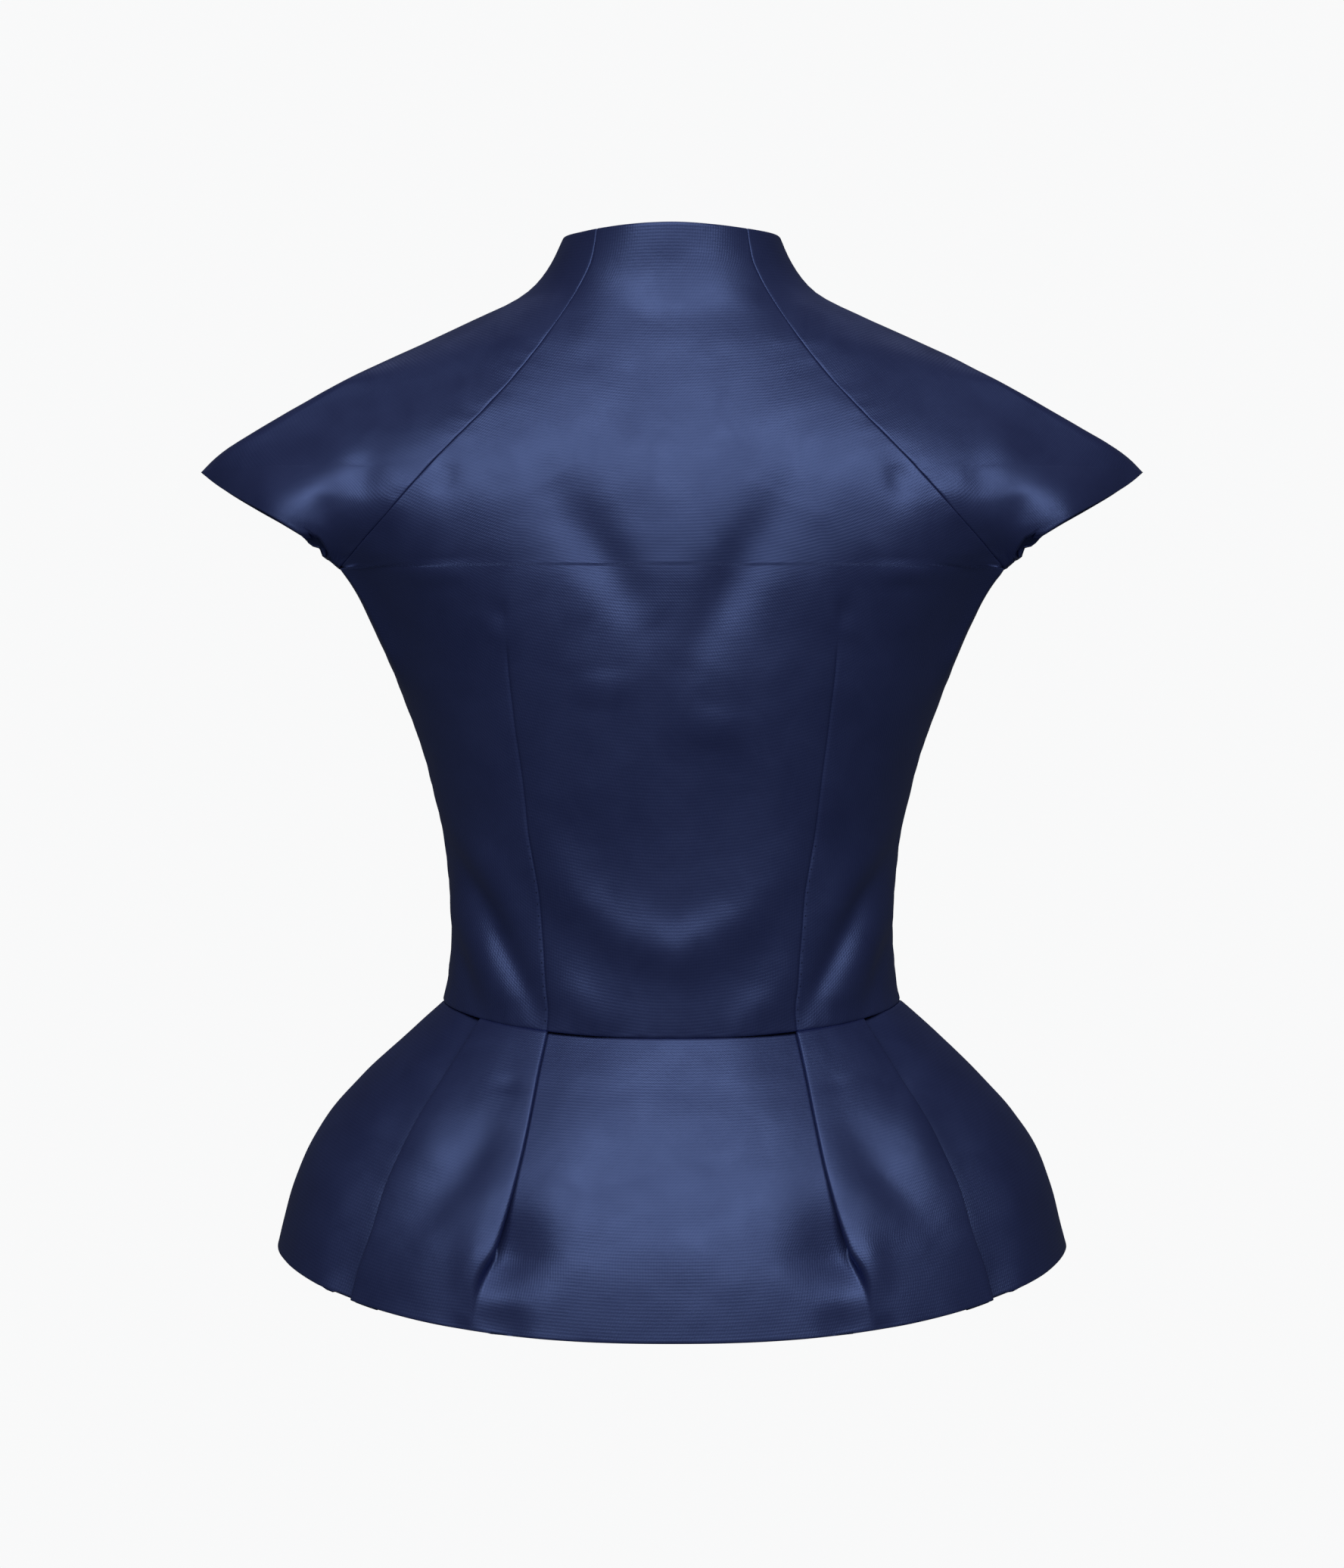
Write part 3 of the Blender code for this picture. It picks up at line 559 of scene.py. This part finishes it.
bodyFolds = {
    "back": [
        ([(-68, -101), (-42, -140), (-15, -181)], 14, -4.4, 2),
        ([(58, -110), (38, -150), (12, -202)], 14, -4.6, 2),
        ([(-37, -206), (-36, -228)], 15, 1.6, 2),
        ([(26, -226), (23, -252)], 15, 1.6, 2),
        ([(-73, -300), (-50, -334), (-27, -352), (2, -362), (38, -345), (62, -318)], 14, 3.6, 2),
        ([(-66, -374), (-30, -408)], 13, 2.4, 2),
        ([(62, -380), (29, -410)], 13, 2.2, 2),
    ] + bothSides([
        ([(131, -298), (103, -340), (93, -361), (75, -395)], 7, -4.0, 1.7),
        ([(114, -300), (84, -350)], 11, 2.6, 2),
        ([(124, -330), (108, -358), (90, -396)], 12, 4.0, 2),
        ([(123, -352), (110, -391)], 5, -2.0, 2),
        ([(125, -90), (127, -113)], 8, -1.7, 2),
        ([(160, -120), (163, -141)], 8, -1.8, 2),
        ([(129, -145), (129, -160)], 15, 2.0, 2),
        ([(96, -168), (95, -181)], 4.5, -1.2, 2),
        ([(98, -184), (98, -189)], 4, 0.6, 2),
        ([(240, -100), (205, -122), (178, -136)], 20, 4.5, 2),
        ([(167, -84), (174, -112)], 8, -1.6, 2),
        ([(192, -108), (197, -126)], 8, -1.8, 2),
        ([(182, -66), (186, -92)], 9, 1.0, 2),
    ]),
    "front": bothSides([
        ([(130, -304), (103, -342), (86, -368)], 6, -2.2, 1.7),
        ([(120, -298), (88, -340)], 10, 1.0, 2),
        ([(118, -346), (88, -386)], 9, 1.4, 2),
        ([(150, -136), (118, -168)], 9, -1.0, 2),
        ([(128, -96), (118, -130)], 9, -0.8, 2),
        ([(20, -352), (58, -372)], 11, -0.9, 2),
        ([(92, -206), (91, -220)], 5, -0.8, 2),
        ([(240, -100), (205, -122), (178, -136)], 20, 4.0, 2),
        ([(168, -80), (176, -110)], 8, -1.4, 2),
        ([(205, -84), (212, -108)], 9, 1.0, 2),
        ([(0, -350), (34, -358), (66, -332)], 14, 1.8, 2),
    ]),
}
dartTop = {"back": -188 * mm, "front": -222 * mm}


def halfBody(side):
    points = []
    for zone, f in bodiceRows:
        dart = seamAngle(dartLine, zone, f, side)
        edge = raglanAngle(zone, f, side)
        points.append(rowPoints(zone, f, side, [(0.0, dart, centreToDart, side == "front", True),
                                                (dart, edge, dartToSide, True, True)]))
    return calmed(np.array(points), side)


def dartGroove(points, side):
    across = np.stack([lengthAlong(row) for row in points])
    away = np.abs(across - across[:, centreToDart:centreToDart + 1])
    below = ease((dartTop[side] - points[..., 2]) / (14 * mm))
    return below * (-0.75 * mm * np.exp(-(away / (0.9 * mm)) ** 1.6) - 0.3 * mm * bump(away, 5 * mm))


def bodiceLift(points, side, seed):
    distance = borderDistance(points)
    lift = rolledEdges(distance, ["right", "bottom", "top"])
    lift = lift + puckers(distance["bottom"], distance["left"], 0.28 * mm, 15 * mm, 9 * mm, seed)
    lift = lift + puckers(distance["right"], distance["top"], 0.22 * mm, 18 * mm, 9 * mm, seed + 2)
    return lift + dartGroove(points, side)


backHalf = halfBody("back")
backNormals = gridNormals(backHalf)
backParts = []
for sign in (-1, 1):
    seen = backHalf * (sign, 1, 1)
    facing = backNormals * (sign, 1, 1)
    lift = bodiceLift(backHalf, "back", 0.6 * sign) + foldLift(seen, bodyFolds["back"]) + unevenness(seen, 1.5, 5)
    placed = seen + facing * lift[..., None]
    drawBack(placed, ["right", "bottom"], form["seamGap"])
    backParts.append(placed)
backPoints = np.concatenate((backParts[0][:, :0:-1], backParts[1]), axis=1)
clothPanel("back_bodice", backPoints)
print("back bodice made")

frontHalf = halfBody("front")
frontNormals = gridNormals(frontHalf)
frontPlaced = {}
for sign, node in ((-1, "front_bodice_left"), (1, "front_bodice_right")):
    seen = frontHalf * (sign, 1, 1)
    facing = frontNormals * (sign, 1, 1)
    lift = bodiceLift(frontHalf, "front", 1.4 * sign) + foldLift(seen, bodyFolds["front"]) + unevenness(seen, 1.5, 5)
    lift = lift + rolledEdges(borderDistance(frontHalf), ["left"])
    placed = seen + facing * lift[..., None]
    drawBack(placed, ["left", "right", "bottom"], form["seamGap"])
    frontPlaced[sign] = placed
    clothPanel(node, placed)
print("front bodice made")


def sleeveHalf(side):
    points = []
    for zone, f in sleeveRows:
        points.append(rowPoints(zone, f, side, [(raglanAngle(zone, f, side), outerAngle(zone, f, side),
                                                 sleeveColumns, True, True)]))
    points = calmed(np.array(points), side)
    points[-1] = bodyPoint(np.float64(quarter), np.float64(form["seamLow"]), side) + (0, 0, 0.3 * mm)
    return points


for side in ("back", "front"):
    half = sleeveHalf(side)
    normals = gridNormals(half)
    for sign, hand in ((-1, "left"), (1, "right")):
        seen = half * (sign, 1, 1)
        distance = borderDistance(half)
        lift = rolledEdges(distance, ["left", "right", "top"])
        lift = lift + puckers(distance["left"], distance["top"], 0.22 * mm, 17 * mm, 8 * mm, 3 + sign)
        lift = lift + foldLift(seen, bodyFolds[side]) + unevenness(seen, 1.5, 5)
        lift = lift * ease(distance["bottom"] / (8 * mm))
        placed = seen + normals * (sign, 1, 1) * lift[..., None]
        drawBack(placed, ["left", "right"], form["seamGap"])
        clothPanel("sleeve_%s_%s" % (side, hand), placed)
print("sleeves made")

# ---- the peplum, its pleats folded three layers deep ----

pleat = {"lift": 0.8 * mm, "ease": 22 * mm, "centreEase": 48 * mm, "recess": 40 * mm, "nearRecess": 5 * mm, "turnSteps": 9, "tuckSteps": 3,
         "hollow": 4 * mm, "hollowPlace": 96 * mm, "hollowWidth": 14 * mm, "hollowShare": 0.10}
panelSteps = {"centre": 34, "middle": 26, "outer": 34}
peplumShares = spread(150 * mm, 56, True, True) / (150 * mm)


def turnedEdge(turn, tuck, space):
    foot, crest = space / 2, form["cloth"] + space / 2
    path = []
    for step in range(pleat["turnSteps"] + 1):
        a = turn * step / pleat["turnSteps"]
        path.append((foot * math.sin(a), foot * (1 - math.cos(a))))
    x, y = path[-1]
    for step in range(1, pleat["tuckSteps"]):
        f = step / pleat["tuckSteps"]
        path.append((x + tuck * math.cos(turn) * f, y + tuck * math.sin(turn) * f))
    middleX = x + tuck * math.cos(turn) + crest * math.sin(turn)
    middleY = y + tuck * math.sin(turn) - crest * math.cos(turn)
    for step in range(pleat["turnSteps"] + 1):
        a = turn * (1 - step / pleat["turnSteps"])
        path.append((middleX - crest * math.sin(a), middleY + crest * math.cos(a)))
    back = min(p[0] for p in path)
    return [(px - back, py) for px, py in path]


def pleatedRow(share, side):
    angles = np.linspace(0.0, quarter, 400)
    reach = lengthAlong(peplumPoint(angles, share, side))
    width, square = peplumRing.at("halfWidth", share), peplumRing.at("square", share)
    edges, folds = [], []
    for table in (innerPleat, outerPleat):
        angle = math.asin(min(float(table.at("fromCentre", share) / width), 1.0) ** (float(square) / 2))
        edges.append(float(np.interp(angle, angles, reach)))
        folds.append(turnedEdge(math.radians(float(table.at("turn", share))), float(table.at("tuck", share)),
                                float(table.at("space", share))))
    rise = [fold[-1][1] for fold in folds]
    inner = [(edges[0] + x, pleat["lift"] - rise[0] + y) for x, y in folds[0]]
    outer = [(edges[1] - x, pleat["lift"] - rise[1] + y) for x, y in reversed(folds[1])]
    foot, low = pleat["lift"] - rise[0], pleat["lift"] - rise[1]
    sink = float(outerPleat.at("sink", share))
    path = []
    for step in range(panelSteps["centre"]):
        s = inner[0][0] * (1 - (1 - step / panelSteps["centre"]) ** 1.5)
        path.append((s, foot * float(ease(1 - (inner[0][0] - s) / pleat["centreEase"]))))
    path += inner
    for step in range(1, panelSteps["middle"]):
        path.append((mix(inner[-1][0], outer[0][0], step / panelSteps["middle"]), pleat["lift"]))
    path += outer
    start = outer[-1][0]
    for step in range(1, panelSteps["outer"] + 1):
        s = mix(start, reach[-1], (step / panelSteps["outer"]) ** 1.25)
        backOut = float(ease((s - edges[1]) / (pleat["ease"] + sink * 3)))
        hidden = float(ease((s - start) / max(edges[1] - start, mm)))
        beside = 0.5 * float(bump(s - edges[1], pleat["recess"])) + 0.2 * float(bump(s - edges[1], pleat["nearRecess"]))
        path.append((s, low * (1 - backOut) - sink * hidden * beside))
    path = np.array(path)
    return path, np.interp(path[:, 0], reach, angles)


peplumFolds = bothSides([
    ([(93, -452), (118, -484), (146, -514)], 14, -3.4, 2),
    ([(90, -430), (91, -439)], 8, -1.0, 2),
    ([(104, -512), (112, -548)], 9, 2.0, 2),
    ([(112, -560), (118, -572)], 8, -2.2, 2),
    ([(84, -552), (88, -572)], 10, -0.8, 2),
    ([(126, -440), (150, -474)], 12, 1.2, 2),
])


def halfPeplum(side):
    points, normals, paths = [], [], []
    for share in peplumShares:
        path, angles = pleatedRow(float(share), side)
        small = 0.0008
        low = np.where(angles > small, angles - small, angles)
        around = peplumPoint(low + small, share, side) - peplumPoint(low, share, side)
        down = peplumPoint(angles, share + 0.0004, side) - peplumPoint(angles, share - 0.0004, side)
        facing = np.cross(around, down)
        facing /= np.linalg.norm(facing, axis=1, keepdims=True)
        base = peplumPoint(angles, share, side)
        inward = np.sum(facing * base * (1, 1, 0), axis=1, keepdims=True) < 0
        facing = np.where(inward, -facing, facing)
        hollow = pleat["hollow"] * bump(base[:, 0] - pleat["hollowPlace"], pleat["hollowWidth"])
        points.append(base + facing * (path[:, 1] - hollow * bump(1 - share, pleat["hollowShare"]))[:, None])
        normals.append(facing)
        paths.append(path[:, 0])
    return np.array(points), np.array(normals)


allowance = {"in": 2.6 * mm, "up": 7 * mm}  # the seam allowance behind the waist seam


def peplumPlaced(side, sign):
    points, normals = halfPeplum(side)
    seen = points * (sign, 1, 1)
    down = lengthAlong(points)
    lift = rolledEdges({"top": down, "bottom": down[-1:] - down}, ["top", "bottom"])
    lift = lift + foldLift(seen, peplumFolds) + unevenness(seen, 1.5, 21)
    placed = seen + normals * (sign, 1, 1) * lift[..., None]
    shelf = placed[0] - normals[0] * (sign, 1, 1) * allowance["in"]
    placed = np.concatenate((shelf[None] + (0, 0, allowance["up"]), shelf[None], placed))
    placed[:, -1, 1] += math.copysign(form["seamGap"], points[0, 0, 1])
    return placed


peplumPoints = np.concatenate((peplumPlaced("back", -1)[:, :0:-1], peplumPlaced("back", 1)), axis=1)
clothPanel("peplum_back", peplumPoints)
peplumFront = {}
for sign, node in ((-1, "peplum_front_left"), (1, "peplum_front_right")):
    placed = peplumPlaced("front", sign)
    placed[:, 0, 0] += sign * form["seamGap"]
    peplumFront[sign] = placed
    clothPanel(node, placed)
print("peplum made")


# ---- strips behind the front opening ----

underlap = {"halfWidth": 12 * mm, "wall": 0.8 * mm, "behind": 1.4 * mm, "columns": 8}


def underlapPoints(panel, normals, topTrim, lowTrim):
    strip = []
    for row, facing in zip(panel, normals):
        wide = np.linspace(-underlap["halfWidth"], underlap["halfWidth"], underlap["columns"] + 1)
        y = np.interp(np.abs(wide), row[:60, 0], row[:60, 1])
        z = np.interp(np.abs(wide), row[:60, 0], row[:60, 2])
        strip.append(np.stack((wide, y, z), axis=1) - facing[0] * (1, 1, 1) * underlap["behind"])
    strip = np.array(strip)
    down = lengthAlong(strip[:, underlap["columns"] // 2])
    keep = (down >= topTrim) & (down <= down[-1] - lowTrim)
    return strip[keep]


strip = underlapPoints(frontPlaced[1][:, :centreToDart], frontNormals, 2 * mm, 0.3 * mm)
clothPanel("front_underlap", strip, (backing,), underlap["wall"])
frontPeplumNormals = halfPeplum("front")[1]
strip = underlapPoints(peplumFront[1][2:, :panelSteps["centre"]], frontPeplumNormals, 0.3 * mm, 2 * mm)
clothPanel("peplum_underlap", strip, (backing,), underlap["wall"])
print("underlaps made")

# ---- prick stitches that hold the darts ----

stitch = {"from": -300 * mm, "step": 6.5 * mm, "length": 0.7 * mm, "radius": 0.34 * mm}


def addStitches(sheet, line, facing):
    reach = lengthAlong(line)
    for place in np.arange(3 * mm, reach[-1] - 4 * mm, stitch["step"]):
        here = [float(np.interp(place, reach, line[:, i])) for i in range(3)]
        ahead = [float(np.interp(place + mm, reach, line[:, i])) for i in range(3)]
        out = Vector([float(np.interp(place, reach, facing[:, i])) for i in range(3)]).normalized()
        way = (Vector(ahead) - Vector(here)).normalized()
        side = out.cross(way)
        turn = Matrix((side, way, out)).transposed().to_4x4()
        size = Matrix.Diagonal((1.0, stitch["length"] / stitch["radius"], 0.6, 1.0))
        bmesh.ops.create_icosphere(sheet, subdivisions=1, radius=stitch["radius"],
                                   matrix=Matrix.Translation(Vector(here)) @ turn @ size)


stitches = bmesh.new()
for points, normals, signs in ((backHalf, backNormals, {-1: backParts[0], 1: backParts[1]}),
                               (frontHalf, frontNormals, frontPlaced)):
    for sign, placed in signs.items():
        column = centreToDart + 3
        low = placed[:, column, 2] < stitch["from"]
        addStitches(stitches, placed[low, column], (normals * (sign, 1, 1))[low, column])
stitchMap = stitches.loops.layers.uv.new("cloth")
for face in stitches.faces:
    for loop in face.loops:
        loop[stitchMap].uv = (loop.vert.co.x, loop.vert.co.z)
pieceFrom("dart_stitches", stitches, (thread,), [])
print("stitches made")

# ---- studio ----

studio = {"floor": -1.35, "radius": 5.4, "corner": 1.6, "top": 5.0}


def studioBowl():
    wall = bmesh.new()
    line = [(0.0, studio["floor"]), (studio["radius"] - studio["corner"], studio["floor"])]
    for step in range(1, 13):
        a = quarter * step / 12
        line.append((studio["radius"] - studio["corner"] + studio["corner"] * math.sin(a),
                     studio["floor"] + studio["corner"] * (1 - math.cos(a))))
    line.append((studio["radius"], studio["top"]))
    verts = [wall.verts.new((x, 0, z)) for x, z in line]
    edges = [wall.edges.new(pair) for pair in zip(verts, verts[1:])]
    bmesh.ops.spin(wall, geom=verts + edges, cent=(0, 0, 0), axis=(0, 0, 1), angle=math.tau, steps=72, use_merge=True)
    bmesh.ops.remove_doubles(wall, verts=wall.verts, dist=1e-5)
    data = bpy.data.meshes.new("studio_bowl")
    wall.to_mesh(data)
    wall.free()
    data.shade_smooth()
    paper = Finish("palePaper", (0.95, 0.95, 0.95, 1.0))
    paper.fill(paper.shader, {"Base Color": (0.0, 0.0, 0.0, 1.0), "Roughness": 1.0, "Specular IOR Level": 0.0,
                              "Emission Color": (0.945, 0.947, 0.950, 1.0), "Emission Strength": 1.0})
    data.materials.append(paper.material)
    bowl = bpy.data.objects.new("studio_bowl", data)
    bpy.context.scene.collection.objects.link(bowl)
    bowl.visible_diffuse = False
    bowl.visible_glossy = False
    bowl.visible_shadow = False
    bowl.visible_transmission = False
    bowl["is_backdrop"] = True


def softLight(name, place, aim, size, power, colour, lit):
    data = bpy.data.lights.new(name, "AREA")
    data.shape = "RECTANGLE"
    data.size, data.size_y = size
    data.energy = power
    data.color = colour
    lamp = bpy.data.objects.new(name, data)
    lamp.location = place
    if lit:
        lamp.light_linking.receiver_collection = lit
    lamp.rotation_euler = (Vector(aim) - Vector(place)).to_track_quat("-Z", "Y").to_euler()
    bpy.context.scene.collection.objects.link(lamp)


studioBowl()
backPieces, frontPieces = (bpy.data.collections.new(name) for name in ("backPieces", "frontPieces"))
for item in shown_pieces():
    (frontPieces if "front" in item.name or "underlap" in item.name else backPieces).objects.link(item)
softLight("backLight", (0, -2.65, 1.6), (0, 0, -0.28), (4.8, 1.5), 43, (1.0, 0.99, 0.97), backPieces)
softLight("frontLight", (0, 2.65, 1.6), (0, 0, -0.28), (4.8, 1.5), 43, (1.0, 0.99, 0.97), frontPieces)
softLight("insideLight", (0, 0.9, 1.5), (0, -0.05, 0.0), (0.8, 0.8), 5, (1.0, 1.0, 1.0), None)
air = bpy.data.worlds.new("studioAir")
air.use_nodes = True
air.node_tree.nodes["Background"].inputs["Color"].default_value = (0.92, 0.95, 1.0, 1.0)
air.node_tree.nodes["Background"].inputs["Strength"].default_value = 0.06
bpy.context.scene.world = air

view = {"distance": 3.0, "height": -0.2692, "frameHeight": 0.891, "sensor": 36.0}
eye = bpy.data.cameras.new("camera")
eye.sensor_width = view["sensor"]
eye.lens = view["sensor"] * view["distance"] / view["frameHeight"]
camera = bpy.data.objects.new("camera", eye)
camera.location = (0, -view["distance"], view["height"])
camera.rotation_euler = (quarter, 0, 0)
bpy.context.scene.collection.objects.link(camera)
bpy.context.scene.camera = camera
bpy.context.scene.view_settings.view_transform = "Standard"
print("studio made")
